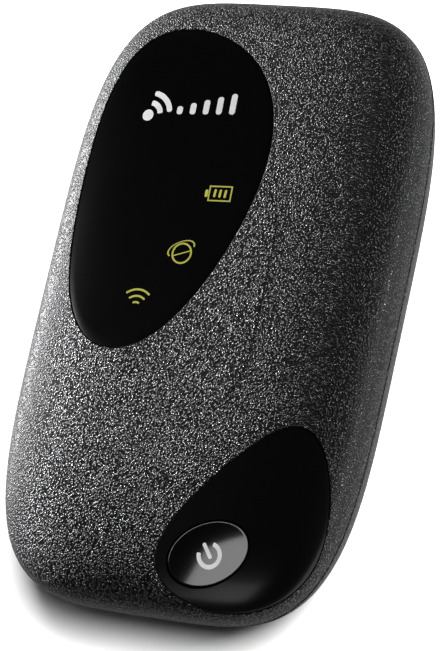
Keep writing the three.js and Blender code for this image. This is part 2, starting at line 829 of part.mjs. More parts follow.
addMesh('usb_socket', usbSocket(), steel);
addMesh('usb_tongue', usbTongue(), darkPlastic);
addMesh('sim_socket', simSocket(), steel);
addMesh('sim_card', simCard(), card);
addMesh('reset_switch', resetSwitch(), steel);
addMesh('reset_plunger', resetPlunger(), darkPlastic);

const cellLow = batteryLow + batteryCapLength + fitGap;
addMesh('battery_cell', batteryStretch(cellLow, batteryHigh), cellWrap);
addMesh('battery_cap', batteryCap(), darkPlastic);
addMesh('battery_connector', batteryConnector(), darkPlastic);
for (let i = 0; i < contactCount; i += 1) {
  addMesh(`battery_pad_${i + 1}`, batteryPad(i), gold);
  addMesh(`battery_spring_${i + 1}`, batterySpring(i), gold);
}

const labelHigh = framePlateBottom - solderGap;
const labelSize = [2 * (batteryHalf - labelMargin), batteryLength - 2 * labelMargin];
const labelLoop = roundedLoop(0, batteryMid, ...labelSize, 1);
addMesh('bay_label', loopSolid(labelLoop, labelHigh - labelThickness, labelHigh), paper);

bossPlaces.forEach(([x, y], i) => addMesh(`frame_screw_${i + 1}`, frameScrew(x, y), steel));
addMesh('antenna_top', antenna(0, bodyLength / 2, endAntennaWidth, bodyLength), gold);
addMesh('antenna_bottom', antenna(0, -bodyLength / 2, endAntennaWidth, bodyLength), gold);
addMesh('antenna_side', antenna(bodyWidth / 2, 0, bodyWidth, sideAntennaLength), gold);

export default group;
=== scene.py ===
"""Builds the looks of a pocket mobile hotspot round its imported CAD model."""

import json
import math

import bmesh
import bpy
from bpy.props import FloatProperty, FloatVectorProperty, IntProperty, PointerProperty
from mathutils import Matrix, Vector

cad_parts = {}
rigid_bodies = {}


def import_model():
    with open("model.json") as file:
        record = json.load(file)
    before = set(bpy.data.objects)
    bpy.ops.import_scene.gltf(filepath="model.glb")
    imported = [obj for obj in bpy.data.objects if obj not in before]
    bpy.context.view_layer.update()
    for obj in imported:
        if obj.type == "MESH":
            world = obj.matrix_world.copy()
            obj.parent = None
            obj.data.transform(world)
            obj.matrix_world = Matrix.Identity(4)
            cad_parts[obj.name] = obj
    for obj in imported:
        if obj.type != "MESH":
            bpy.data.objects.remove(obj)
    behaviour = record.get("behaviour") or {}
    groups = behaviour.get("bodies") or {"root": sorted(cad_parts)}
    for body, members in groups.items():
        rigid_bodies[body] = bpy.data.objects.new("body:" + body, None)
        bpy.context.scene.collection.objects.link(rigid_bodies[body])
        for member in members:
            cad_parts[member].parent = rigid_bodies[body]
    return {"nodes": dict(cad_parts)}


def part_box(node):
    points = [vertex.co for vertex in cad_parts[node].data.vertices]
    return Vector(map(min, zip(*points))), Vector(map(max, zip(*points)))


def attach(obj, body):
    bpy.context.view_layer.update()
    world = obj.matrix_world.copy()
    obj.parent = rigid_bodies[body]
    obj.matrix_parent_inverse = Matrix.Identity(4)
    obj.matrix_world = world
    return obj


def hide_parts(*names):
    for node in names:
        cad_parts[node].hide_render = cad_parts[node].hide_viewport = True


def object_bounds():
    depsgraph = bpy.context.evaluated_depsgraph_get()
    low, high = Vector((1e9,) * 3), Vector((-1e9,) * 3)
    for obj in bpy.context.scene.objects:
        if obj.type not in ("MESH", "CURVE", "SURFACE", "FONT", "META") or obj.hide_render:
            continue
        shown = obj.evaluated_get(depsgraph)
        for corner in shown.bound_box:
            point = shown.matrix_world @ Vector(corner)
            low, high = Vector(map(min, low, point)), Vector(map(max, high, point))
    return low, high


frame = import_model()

bl_info = {
    "name": "Mobile Hotspot",
    "version": (1, 0, 0),
    "blender": (4, 5, 0),
    "location": "View3D > Sidebar > Hotspot",
    "description": "Builds the case, gloss inserts, button and finishes of a pocket mobile hotspot",
    "category": "Add Mesh",
}

MM = 0.001
SHELL_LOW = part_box("front_shell")[0]
CAD_LOW, CAD_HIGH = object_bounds()


# ---- sizes and colours


def metres(name, description, default):
    """A length property in metres."""
    return FloatProperty(
        name=name, description=description, default=default, unit="LENGTH", precision=5
    )


def ratio(name, description, default):
    """A plain number property."""
    return FloatProperty(name=name, description=description, default=default)


def tint(name, description, default):
    """A colour property."""
    return FloatVectorProperty(
        name=name, description=description, default=default, subtype="COLOR", min=0.0, max=1.0
    )


class CaseSettings(bpy.types.PropertyGroup):
    """Shape of the two halves of the case."""

    width: metres("Width", "Width of the outline", CAD_HIGH.x - CAD_LOW.x)
    length: metres("Length", "Length of the outline", CAD_HIGH.y - CAD_LOW.y)
    thickness: metres("Thickness", "From the back to the front face", CAD_HIGH.z)
    seam_height: metres("Seam Height", "Level of the parting line", 11.66 * MM)
    seam_gap: metres("Seam Gap", "Opening of the parting line", 0.26 * MM)
    rim_chamfer: metres("Rim Chamfer", "Broken edge on both sides of the parting line", 0.12 * MM)
    shell_wall: metres("Shell Wall", "Wall of the front shell", 1.9 * MM)
    cover_wall: metres("Cover Wall", "Wall of the rear cover", 1.5 * MM)
    outline_power: ratio("Outline Power", "How square the outline is", 4.17)
    front_crown: ratio("Front Crown", "How far the front stays flat", 4.6)
    front_roll: ratio("Front Roll", "How round the front's edge is", 3.16)
    back_flat: ratio("Back Flat", "Flat share of the back", 0.5)
    back_crown: ratio("Back Crown", "How far the back stays flat", 3.87)
    back_roll: ratio("Back Roll", "How round the back's edge is", 1.27)
    segments: IntProperty(name="Segments", description="Steps round the outline", default=240)
    rings: IntProperty(name="Rings", description="Steps from the centre to the rim", default=44)


class InsertSettings(bpy.types.PropertyGroup):
    """The two gloss inserts and the power button."""

    window_left: metres(
        "Window From Left", "Left side of the case to the window's centre", 19.04 * MM
    )
    window_top: metres("Window From Top", "Top end of the case to the window's centre", 31.92 * MM)
    panel_right: metres(
        "Panel From Right", "Right side of the case to the panel's centre", 12.05 * MM
    )
    panel_bottom: metres(
        "Panel From Bottom", "Bottom end of the case to the panel's centre", 13.94 * MM
    )
    button_right: metres("Button From Right", "Right side of the case to the button", 18.27 * MM)
    button_bottom: metres("Button From Bottom", "Bottom end of the case to the button", 9.13 * MM)
    hole_reach: metres("Hole Reach", "Half length of the button's hole", 6.66 * MM)
    hole_girth: metres("Hole Girth", "Half width of the button's hole", 4.56 * MM)
    hole_tilt: FloatProperty(
        name="Hole Tilt",
        description="Turn of the oval hole",
        default=math.radians(26.0),
        subtype="ANGLE",
    )
    thickness: metres("Thickness", "Thickness of the inserts", 0.9 * MM)
    gap: metres("Gap", "Visible gap round the inserts", 0.09 * MM)
    button_gap: metres("Button Gap", "Visible gap round the button", 0.22 * MM)
    edge: metres("Edge", "Broken edge of the inserts", 0.07 * MM)
    sink: metres("Sink", "How far the inserts lie below the case", 0.1 * MM)
    rim_break: metres("Rim Break", "Broken edge of the recesses", 0.13 * MM)
    dish: metres("Dish", "Depth of the hollow in the button", 0.55 * MM)
    icon_stroke: metres("Icon Stroke", "Line width of the indicator icons", 0.2 * MM)
    symbol_radius: metres("Symbol Radius", "Outer radius of the power symbol", 1.96 * MM)
    symbol_stroke: metres("Symbol Stroke", "Line width of the power symbol", 0.64 * MM)
    segments: IntProperty(name="Segments", description="Steps round an insert", default=180)


class FinishSettings(bpy.types.PropertyGroup):
    """Colours and textures."""

    case_colour: tint("Case", "Moulded case plastic", (0.009, 0.0092, 0.0098))
    gloss_colour: tint("Gloss", "Polished inserts", (0.003, 0.003, 0.0033))
    icon_colour: tint("Icons", "Lit indicator icons", (0.40, 0.40, 0.06))
    mark_colour: tint("Mark", "Printed mark on the window", (0.85, 0.85, 0.84))
    grain_size: metres("Grain Size", "Spacing of the leather grain", 0.31 * MM)
    # lightens the tops of the grain: partly rubbed wear, partly a painted glint standing in for
    # reflections of the lamps
    wear_and_glint: ratio("Wear And Glint", "How much lighter the tops of the grain are", 15.0)
    grain_depth: metres("Grain Depth", "Depth of the leather grain", 0.12 * MM)


# tilt, half length, half width, taper, fullness, bow and twist of each egg outline
WINDOW_EGG = (math.radians(83.5), 25.31 * MM, 14.65 * MM, 0.211, 0.149, 0.148, 0.08)
PANEL_EGG = (math.radians(57.0), 15.08 * MM, 9.71 * MM, -0.181, -0.009, 0.351, -0.063)

# steps of the two halves and the sheets
MIDDLE_SHARES = (0.36, 0.24, 0.12, 0.0)
WELD = 1e-6
RECESS_RINGS = 12
WINDOW_RINGS = 26
PANEL_RINGS = 40
CAP_RINGS = 24
RING_CROWDING = 1.7

# clearances, edges and depths
CUT_CLEARANCE = 0.3 * MM
SOCKET_MARGIN = 0.4 * MM
SOCKET_REACH = 8 * MM
SOCKET_CORNER = 0.8 * MM
COVER_RIM_SHARE = 0.9995
CAP_DEPTH = 1.6 * MM
CAP_EDGE = 0.18 * MM
EDGE_ANGLE = math.radians(50)
FILM_RISE = 0.02 * MM
FILM_SINK = 0.06 * MM

# snap tabs and thumb notch of the rear cover
TAB_CLEARANCE = 0.4 * MM
TAB_THICKNESS = 1.0 * MM
TAB_WIDTH = 7 * MM
TAB_RISE = 1.1 * MM
TAB_DROP = 2.4 * MM
TAB_PLACE = 18 * MM
NOTCH_SIZE = (9 * MM, 1.6 * MM, 2.2 * MM)

# centres of the printed and lit graphics, in the plan
BATTERY_CENTRE = Vector((-0.13, 14.78)) * MM
GLOBE_CENTRE = Vector((-4.1, 5.25)) * MM
ORBIT_OFFSET = Vector((-0.25, 0.65)) * MM
WIRELESS_SOURCE = Vector((-9.68, -3.75)) * MM
MARK_FOOT = Vector((-15.1, 26.2)) * MM
SYMBOL_CENTRE = Vector((10.16, -38.0)) * MM


# ---- shape of the case


def case_settings():
    return bpy.context.scene.hotspot_case


def insert_settings():
    return bpy.context.scene.hotspot_inserts


def finish_settings():
    return bpy.context.scene.hotspot_finish


def outline_radius(angle, inset):
    """Distance from the centre to the outline, in from its edge by inset."""
    case = case_settings()
    across = abs(math.cos(angle)) / (case.width / 2 - inset)
    along = abs(math.sin(angle)) / (case.length / 2 - inset)
    total = across**case.outline_power + along**case.outline_power
    return total ** (-1 / case.outline_power)


def outline_share(x, y, inset):
    """How far out a place is, from 0 at the centre to 1 on the outline."""
    case = case_settings()
    across = abs(x) / (case.width / 2 - inset)
    along = abs(y) / (case.length / 2 - inset)
    total = across**case.outline_power + along**case.outline_power
    return min(1.0, total ** (1 / case.outline_power))


def front_level(x, y, inset=0.0):
    """Height of the front surface above a place in the plan."""
    case = case_settings()
    base = case.seam_height + case.seam_gap / 2
    rise = case.thickness - inset - base
    share = outline_share(x, y, inset)
    return base + rise * (1 - share**case.front_crown) ** (1 / case.front_roll)


def insert_level(x, y):
    """Height of the gloss inserts, which lie a little below the case."""
    return front_level(x, y) - insert_settings().sink


def front_profile(inset):
    """Shares and levels of the front surface, from the rim to the centre."""
    case = case_settings()
    base = case.seam_height + case.seam_gap / 2
    rise = case.thickness - inset - base
    points = []
    for i in range(case.rings, 0, -1):
        turn = i / case.rings * math.pi / 2
        level = base + rise * max(0.0, math.cos(turn)) ** (2 / case.front_roll)
        points.append((math.sin(turn) ** (2 / case.front_crown), level))
    points += [(share, base + rise) for share in MIDDLE_SHARES]
    return points


def back_profile(inset):
    """Shares and levels of the back surface, from the rim to the centre."""
    case = case_settings()
    base = case.seam_height - case.seam_gap / 2
    drop = base - inset
    points = []
    for i in range(case.rings, -1, -1):
        turn = i / case.rings * math.pi / 2
        level = base - drop * max(0.0, math.cos(turn)) ** (2 / case.back_roll)
        reach = math.sin(turn) ** (2 / case.back_crown)
        points.append((case.back_flat + (1 - case.back_flat) * reach, level))
    points += [(share, inset) for share in MIDDLE_SHARES]
    return points


def spun_surface(points, inset):
    """Turns a profile into a bowl and stretches its round plan to the case's outline."""
    bm = bmesh.new()
    verts = [bm.verts.new((share, 0, level)) for share, level in points]
    edges = [bm.edges.new(pair) for pair in zip(verts, verts[1:])]
    bmesh.ops.spin(
        bm,
        geom=verts + edges,
        cent=(0, 0, 0),
        axis=(0, 0, 1),
        angle=2 * math.pi,
        steps=case_settings().segments,
        use_merge=True,
    )
    bmesh.ops.remove_doubles(bm, verts=bm.verts, dist=WELD)
    case = case_settings()
    for v in bm.verts:
        share = math.hypot(v.co.x, v.co.y)
        if share > 0:
            turn = math.atan2(v.co.y, v.co.x)
            angle = math.atan2(case.length * math.sin(turn), case.width * math.cos(turn))
            reach = share * outline_radius(angle, inset)
            v.co.x, v.co.y = reach * math.cos(angle), reach * math.sin(angle)
    return bm


def joined(first, second):
    """Adds the second bmesh to the first."""
    mesh = bpy.data.meshes.new("joining")
    second.to_mesh(mesh)
    first.from_mesh(mesh)
    second.free()
    bpy.data.meshes.remove(mesh)
    return first


def walled(outer, inner):
    """Joins an outer and an inner bowl at their rims into one closed wall."""
    bm = joined(outer, inner)
    rims = [e for e in bm.edges if e.is_boundary]
    bmesh.ops.bridge_loops(bm, edges=rims)
    bmesh.ops.recalc_face_normals(bm, faces=bm.faces)
    return bm


def finished(bm, name, body=None, material=None, nodes=(), sharp=32.0):
    """Makes the piece's object, smooth between its sharp edges, riding on its body."""
    mesh = bpy.data.meshes.new(name)
    bm.to_mesh(mesh)
    bm.free()
    piece = bpy.data.objects.new(name, mesh)
    bpy.context.scene.collection.objects.link(piece)
    return dressed(piece, body, material, nodes, sharp)


def dressed(piece, body, material, nodes=(), sharp=32.0):
    """Gives a piece its shading, material, body, replaced nodes and slot."""
    mesh = piece.data
    for polygon in mesh.polygons:
        polygon.use_smooth = True
    mesh.set_sharp_from_angle(angle=math.radians(sharp))
    if material:
        mesh.materials.clear()
        mesh.materials.append(bpy.data.materials[material])
    if body:
        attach(piece, body)
    if nodes:
        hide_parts(*nodes)
    return piece


def cutter(bm, name):
    """A hidden solid to cut with."""
    bmesh.ops.recalc_face_normals(bm, faces=bm.faces)
    mesh = bpy.data.meshes.new(name)
    bm.to_mesh(mesh)
    bm.free()
    tool = bpy.data.objects.new(name, mesh)
    bpy.context.scene.collection.objects.link(tool)
    return tool


def cut(piece, tools, operation="DIFFERENCE"):
    """Cuts the piece with each solid, keeps the result in its mesh and clears the solids away."""
    for tool in tools:
        modifier = piece.modifiers.new("Cut", "BOOLEAN")
        modifier.operation = operation
        modifier.solver = "MANIFOLD"
        modifier.object = tool
    bake(piece)
    for tool in tools:
        mesh = tool.data
        bpy.data.objects.remove(tool)
        bpy.data.meshes.remove(mesh)


def bake(piece):
    """Keeps what the piece's modifiers make as its own mesh."""
    bpy.context.view_layer.update()
    graph = bpy.context.evaluated_depsgraph_get()
    made = bpy.data.meshes.new_from_object(piece.evaluated_get(graph))
    old = piece.data
    piece.modifiers.clear()
    piece.data = made
    made.name = piece.name
    bpy.data.meshes.remove(old)


# ---- eggs, ovals and prisms


def egg_point(egg, centre, turn):
    """A point on an egg outline that leans and bends."""
    tilt, reach, girth, taper, fullness, bow, twist = egg
    c = math.cos(turn)
    across = math.sin(turn) * (1 + taper * c + fullness * c * c) + bow * c * c + twist * c**3
    return centre + Vector((reach * c, girth * across)) @ Matrix.Rotation(-tilt, 2)


def grown(points, grow):
    """Moves a loop of points out along its own normals."""
    moved = []
    for i, point in enumerate(points):
        along = (points[(i + 1) % len(points)] - points[i - 1]).normalized()
        moved.append(point + Vector((along.y, -along.x)) * grow)
    return moved


def egg_loop(egg, centre, grow):
    """Points round an egg outline, moved out by grow."""
    steps = insert_settings().segments
    points = [egg_point(egg, centre, 2 * math.pi * i / steps) for i in range(steps)]
    return grown(points, grow)


def window_centre():
    case, inserts = case_settings(), insert_settings()
    return Vector((inserts.window_left - case.width / 2, case.length / 2 - inserts.window_top))


def panel_centre():
    case, inserts = case_settings(), insert_settings()
    return Vector((case.width / 2 - inserts.panel_right, inserts.panel_bottom - case.length / 2))


def button_centre():
    case, inserts = case_settings(), insert_settings()
    return Vector((case.width / 2 - inserts.button_right, inserts.button_bottom - case.length / 2))


def window_loop(grow):
    return egg_loop(WINDOW_EGG, window_centre(), grow)


def panel_loop(grow):
    return egg_loop(PANEL_EGG, panel_centre(), grow)


def button_loop(grow):
    """Outline of the button's hole."""
    inserts = insert_settings()
    oval = (inserts.hole_tilt, inserts.hole_reach, inserts.hole_girth, 0.0, 0.0, 0.0, 0.0)
    return egg_loop(oval, button_centre(), grow)


def ring_sheet(outer, inner, steps, level):
    """A sheet of rings from the outer loop in to the inner loop, draped to a height by level."""
    bm = bmesh.new()
    circle = bmesh.ops.create_circle(bm, segments=len(outer), radius=1.0)
    verts = circle["verts"]
    edges = list(bm.edges)
    places = {v: i for i, v in enumerate(verts)}
    for v, i in places.items():
        v.co = (*outer[i], 0)
    for step in range(1, steps + 1):
        share = 1 - (1 - step / steps) ** RING_CROWDING
        made = bmesh.ops.extrude_edge_only(bm, edges=edges)["geom"]
        edges = [g for g in made if isinstance(g, bmesh.types.BMEdge) and g.is_boundary]
        fresh = {v for e in edges for v in e.verts}
        nearest = {}
        for v in fresh:
            partner = next(e.other_vert(v) for e in v.link_edges if e.other_vert(v) in places)
            nearest[v] = places[partner]
        for v, i in nearest.items():
            v.co = (*outer[i].lerp(inner[i], share), 0)
        places = nearest
    if (inner[0] - inner[len(inner) // 2]).length < 1e-9:
        bmesh.ops.pointmerge(bm, verts=list(places), merge_co=(*inner[0], 0))
    for v in bm.verts:
        v.co.z = level(v.co.x, v.co.y)
    bmesh.ops.recalc_face_normals(bm, faces=bm.faces)
    if sum(f.normal.z for f in bm.faces) < 0:
        bmesh.ops.reverse_faces(bm, faces=bm.faces)
    return bm


def disc_sheet(loop, steps, level):
    """A sheet of rings from the loop in to its middle."""
    middle = sum(loop, Vector((0, 0))) / len(loop)
    return ring_sheet(loop, [middle] * len(loop), steps, level)


def prism(loop, low, high):
    """A closed upright solid over a loop."""
    bm = bmesh.new()
    made = bmesh.ops.create_circle(bm, segments=len(loop), radius=1.0, cap_ends=True)
    for i, v in enumerate(made["verts"]):
        v.co = (*loop[i], low)
    lifted = bmesh.ops.extrude_face_region(bm, geom=list(bm.faces))["geom"]
    verts = [g for g in lifted if isinstance(g, bmesh.types.BMVert)]
    bmesh.ops.translate(bm, verts=verts, vec=(0, 0, high - low))
    return bm


def lifted_rim(bm, edges, points, level):
    """Extrudes a rim of edges to new places, point for point, and gives back the new rim."""
    order = {}
    for v in {v for e in edges for v in e.verts}:
        order[v] = v[bm.verts.layers.int["place"]]
    made = bmesh.ops.extrude_edge_only(bm, edges=edges)["geom"]
    rim = [g for g in made if isinstance(g, bmesh.types.BMEdge) and g.is_boundary]
    layer = bm.verts.layers.int["place"]
    for v in {v for e in rim for v in e.verts}:
        partner = next(e.other_vert(v) for e in v.link_edges if e.other_vert(v) in order)
        v[layer] = order[partner]
        point = points[order[partner]]
        v.co = (*point, level(*point))
    return rim


def recess(loop_of, depth, chamfer):
    """The solid that a conformal recess with a broken rim takes away."""
    floor, rim = loop_of(0.0), loop_of(chamfer)
    bm = disc_sheet(floor, RECESS_RINGS, lambda x, y: front_level(x, y, depth))
    layer = bm.verts.layers.int.new("place")
    edges = [e for e in bm.edges if e.is_boundary]
    for v in {v for e in edges for v in e.verts}:
        v[layer] = min(range(len(floor)), key=lambda i: (floor[i] - v.co.xy).length)
    edges = lifted_rim(bm, edges, floor, lambda x, y: front_level(x, y) - chamfer)
    edges = lifted_rim(bm, edges, rim, front_level)
    edges = lifted_rim(bm, edges, rim, lambda x, y: 2 * case_settings().thickness)
    bmesh.ops.holes_fill(bm, edges=edges)
    return bm


# ---- finishes


def new_material(name):
    """A material, its node tree and its main shader."""
    material = bpy.data.materials.new(name)
    material.use_nodes = True
    tree = material.node_tree
    return material, tree, tree.nodes["Principled BSDF"]


def node(tree, kind, x=0, y=0, **values):
    """Adds a node with its place and its settings."""
    made = tree.nodes.new(kind)
    made.location = (x, y)
    for key, value in values.items():
        setattr(made, key, value)
    return made


def feed(tree, value, socket):
    """Sets a socket to a number, or links another socket to it."""
    if isinstance(value, (int, float)):
        socket.default_value = value
    else:
        tree.links.new(value, socket)


def math_node(tree, operation, *terms):
    """Adds a sum whose terms are numbers or sockets, and gives back its result."""
    made = node(tree, "ShaderNodeMath", operation=operation)
    for term, socket in zip(terms, made.inputs):
        feed(tree, term, socket)
    return made.outputs[0]


def noise(tree, vector, scale, detail=2.0):
    """Adds soft noise, and gives back its strength."""
    made = node(tree, "ShaderNodeTexNoise", -600)
    made.inputs["Detail"].default_value = detail
    tree.links.new(vector, made.inputs["Vector"])
    feed(tree, scale, made.inputs["Scale"])
    return made.outputs["Fac"]


def mixed(tree, factor, first, second):
    """Adds a fade from one colour to another, and gives back its result."""
    tone = node(tree, "ShaderNodeMix", -300, data_type="RGBA")
    for end, colour in (("A", first), ("B", second)):
        tone.inputs[end].default_value = (*(min(1.0, c) for c in colour), 1)
    tree.links.new(factor, tone.inputs["Factor"])
    return tone.outputs["Result"]


def bumped(tree, shader, height, depth):
    """Gives a surface its relief."""
    bump = node(tree, "ShaderNodeBump", -200, -200)
    bump.inputs["Distance"].default_value = depth
    tree.links.new(height, bump.inputs["Height"])
    tree.links.new(bump.outputs["Normal"], shader.inputs["Normal"])


def object_place(tree):
    """Places on the piece, for its textures."""
    return node(tree, "ShaderNodeTexCoord", -900).outputs["Object"]


def new_group(name, inputs, outputs):
    """A shader node group with named inputs and outputs."""
    group = bpy.data.node_groups.new(name, "ShaderNodeTree")
    for label, kind, default in inputs:
        socket = group.interface.new_socket(label, in_out="INPUT", socket_type=kind)
        if default is not None:
            socket.default_value = default
    for label, kind in outputs:
        group.interface.new_socket(label, in_out="OUTPUT", socket_type=kind)
    start = node(group, "NodeGroupInput", -900)
    end = node(group, "NodeGroupOutput", 900)
    return group, start.outputs, end.inputs


def place_group(tree, group, **values):
    """Adds a node group with the values of its inputs."""
    made = node(tree, "ShaderNodeGroup", -500)
    made.node_tree = group
    for key, value in values.items():
        made.inputs[key.replace("_", " ")].default_value = value
    return made


def grain_group():
    """Leather-like moulded grain: rounded pebbles parted by creases, with bright rubbed tops whose
    lighter colour is a painted glint.
    """
    group, given, out = new_group(
        "Leather Grain",
        [("Vector", "NodeSocketVector", None), ("Pebbles per Metre", "NodeSocketFloat", 2000.0)],
        [("Height", "NodeSocketFloat"), ("Worn", "NodeSocketFloat")],
    )
    link = group.links.new
    scale = given["Pebbles per Metre"]
    pebbles = node(group, "ShaderNodeTexVoronoi", -500, 200)
    link(given["Vector"], pebbles.inputs["Vector"])
    link(scale, pebbles.inputs["Scale"])
    fine = noise(group, given["Vector"], math_node(group, "MULTIPLY", scale, 1.3), 1.0)
    reach = math_node(group, "MULTIPLY_ADD", fine, 0.5, pebbles.outputs["Distance"])
    tops = node(group, "ShaderNodeMapRange", -250, 200, interpolation_type="SMOOTHSTEP")
    for end, value in (("From Min", 0.95), ("From Max", 0.35), ("To Min", 0.0), ("To Max", 1.0)):
        tops.inputs[end].default_value = value
    link(reach, tops.inputs["Value"])
    link(tops.outputs["Result"], out["Height"])
    shade = node(group, "ShaderNodeSeparateColor", -250, -300)
    link(pebbles.outputs["Color"], shade.inputs["Color"])
    # each pebble's top gets its own strength of rubbed wear and painted glint
    luck = math_node(group, "MULTIPLY_ADD", shade.outputs["Red"], 0.65, 0.35)
    worn_and_glint = node(group, "ShaderNodeMapRange", -250, -150, interpolation_type="SMOOTHSTEP")
    worn_and_glint.inputs["From Min"].default_value = 0.35
    worn_and_glint.inputs["From Max"].default_value = 0.85
    link(tops.outputs["Result"], worn_and_glint.inputs["Value"])
    link(math_node(group, "MULTIPLY", worn_and_glint.outputs["Result"], luck), out["Worn"])
    return group


def case_material():
    """Charcoal moulded plastic with a leather-like grain."""
    finish = finish_settings()
    material, tree, shader = new_material("grained_case")
    link = tree.links.new
    nodes = bpy.data.node_groups["Leather Grain"]
    grain = place_group(tree, nodes, Pebbles_per_Metre=1 / finish.grain_size)
    link(object_place(tree), grain.inputs["Vector"])
    bumped(tree, shader, grain.outputs["Height"], finish.grain_depth)
    colour = finish.case_colour
    # the lighter colour on the tops of the grain is a painted glint; the metal and lower roughness
    # there make the rubbed tops reflect the lamps as well
    tone = mixed(tree, grain.outputs["Worn"], colour, [c * finish.wear_and_glint for c in colour])
    link(tone, shader.inputs["Base Color"])
    link(grain.outputs["Worn"], shader.inputs["Metallic"])
    rough = math_node(tree, "MULTIPLY_ADD", grain.outputs["Worn"], -0.26, 0.42)
    link(rough, shader.inputs["Roughness"])
    shader.inputs["Specular IOR Level"].default_value = 0.16
    return material


def gloss_material(name, roughness):
    """Polished black plastic."""
    finish = finish_settings()
    material, tree, shader = new_material(name)
    shader.inputs["Base Color"].default_value = (*finish.gloss_colour, 1)
    haze = noise(tree, object_place(tree), 90.0, 3.0)
    rough = math_node(tree, "MULTIPLY_ADD", haze, 0.05, roughness)
    tree.links.new(rough, shader.inputs["Roughness"])
    shader.inputs["Coat Weight"].default_value = 0.08
    shader.inputs["Coat Roughness"].default_value = 0.04
    return material


def fine_grain_group():
    """A soft blotch mask and fine specks, for moulded and rolled surfaces."""
    group, given, out = new_group(
        "Fine Grain",
        [("Vector", "NodeSocketVector", None), ("Scale", "NodeSocketFloat", 900.0)],
        [("Blotch", "NodeSocketFloat"), ("Speck", "NodeSocketFloat")],
    )
    fine = noise(group, given["Vector"], given["Scale"], 4.0)
    broad = noise(group, given["Vector"], math_node(group, "MULTIPLY", given["Scale"], 0.09))
    group.links.new(broad, out["Blotch"])
    group.links.new(fine, out["Speck"])
    return group


# name, colour, roughness, metal, grains per metre, relief (mm) and spread of the colour
PART_FINISHES = (
    ("black_moulding", (0.018, 0.018, 0.02), 0.45, 0.0, 1500, 0.01, 0.25),
    ("frame_moulding", (0.035, 0.035, 0.038), 0.5, 0.0, 1200, 0.02, 0.25),
    ("tinned_steel", (0.55, 0.55, 0.56), 0.32, 1.0, 2200, 0.01, 0.08),
    ("gold_plating", (0.83, 0.58, 0.22), 0.28, 1.0, 2200, 0.01, 0.08),
    ("milky_pipe", (0.72, 0.75, 0.74), 0.25, 0.0, 700, 0.01, 0.05),
    ("film_wrap", (0.33, 0.34, 0.36), 0.38, 0.0, 700, 0.01, 0.12),
    ("card_plastic", (0.62, 0.63, 0.6), 0.4, 0.0, 1400, 0.01, 0.06),
    ("lamp_body", (0.75, 0.72, 0.4), 0.3, 0.0, 1800, 0.01, 0.1),
)


def part_material(name, colour, roughness, metallic, scale, depth, spread):
    """A moulded, pressed or rolled part: blotchy colour, uneven roughness and fine relief."""
    material, tree, shader = new_material(name)
    link = tree.links.new
    grain = place_group(tree, bpy.data.node_groups["Fine Grain"], Scale=scale)
    link(object_place(tree), grain.inputs["Vector"])
    ends = [[c * (1 + side * spread) for c in colour] for side in (-1, 1)]
    link(mixed(tree, grain.outputs["Blotch"], *ends), shader.inputs["Base Color"])
    rough = math_node(tree, "MULTIPLY_ADD", grain.outputs["Speck"], 0.2, roughness - 0.1)
    link(rough, shader.inputs["Roughness"])
    bumped(tree, shader, grain.outputs["Speck"], depth * MM)
    shader.inputs["Metallic"].default_value = metallic
    return material


def board_material():
    """Green solder mask with faint copper runs under it."""
    material, tree, shader = new_material("solder_mask")
    link = tree.links.new
    runs = node(tree, "ShaderNodeTexBrick", -500, 100)
    runs.inputs["Scale"].default_value = 260.0
    runs.inputs["Mortar Size"].default_value = 0.03
    runs.inputs["Color1"].default_value = (0.012, 0.075, 0.035, 1)
    runs.inputs["Color2"].default_value = (0.016, 0.095, 0.045, 1)
    runs.inputs["Mortar"].default_value = (0.035, 0.16, 0.08, 1)
    link(object_place(tree), runs.inputs["Vector"])
    link(runs.outputs["Color"], shader.inputs["Base Color"])
    bumped(tree, shader, runs.outputs["Fac"], 0.02 * MM)
    shader.inputs["Roughness"].default_value = 0.35
    return material


def label_material():
    """White label with plain grey bars and rules in place of print."""
    material, tree, shader = new_material("label_paper")
    link = tree.links.new
    place = object_place(tree)
    split = node(tree, "ShaderNodeSeparateXYZ", -700)
    link(place, split.inputs[0])
    rows = math_node(tree, "FRACT", math_node(tree, "MULTIPLY", split.outputs["Y"], 320.0))
    row = math_node(tree, "GREATER_THAN", rows, 0.62)
    inside = math_node(tree, "LESS_THAN", math_node(tree, "ABSOLUTE", split.outputs["X"]), 11 * MM)
    ink = math_node(tree, "MULTIPLY", row, inside)
    tone = mixed(tree, ink, (0.78, 0.78, 0.76), (0.28, 0.28, 0.29))
    link(tone, shader.inputs["Base Color"])
    rough = math_node(tree, "MULTIPLY_ADD", noise(tree, place, 2500.0), 0.2, 0.5)
    link(rough, shader.inputs["Roughness"])
    return material


def print_material(name, colour, glow=0.0):
    """A printed or back-lit film, slightly uneven in tone. Glow stands for the back-light of the
    lit icons and is painted glow on the prints.
    """
    material, tree, shader = new_material(name)
    mottle = noise(tree, object_place(tree), 900.0)
    tone = mixed(tree, mottle, [c * 0.8 for c in colour], [c * 1.15 for c in colour])
    tree.links.new(tone, shader.inputs["Base Color"])
    if glow:
        tree.links.new(tone, shader.inputs["Emission Color"])
        shader.inputs["Emission Strength"].default_value = glow
    shader.inputs["Roughness"].default_value = 0.35
    return material


class HOTSPOT_OT_finishes(bpy.types.Operator):
    """Makes the shared node groups and materials"""

    bl_idname = "hotspot.finishes"
    bl_label = "Finishes"

    def execute(self, context):
        finish = finish_settings()
        grain_group()
        case_material()
        gloss_material("polished_insert", 0.24)
        gloss_material("polished_button", 0.09)
        fine_grain_group()
        board_material()
        label_material()
        for name, colour, roughness, metallic, scale, depth, spread in PART_FINISHES:
            part_material(name, colour, roughness, metallic, scale, depth, spread)
        print_material("lit_icon", finish.icon_colour, glow=0.6)
        # the mark and the power symbol are print; their glow is painted light that brightens them,
        # unlike the icons' real back-light
        print_material("white_print", finish.mark_colour, glow=0.25)
        print_material("grey_print", (0.5, 0.5, 0.51), glow=1.0)
        return {"FINISHED"}


# ---- halves, inserts and button


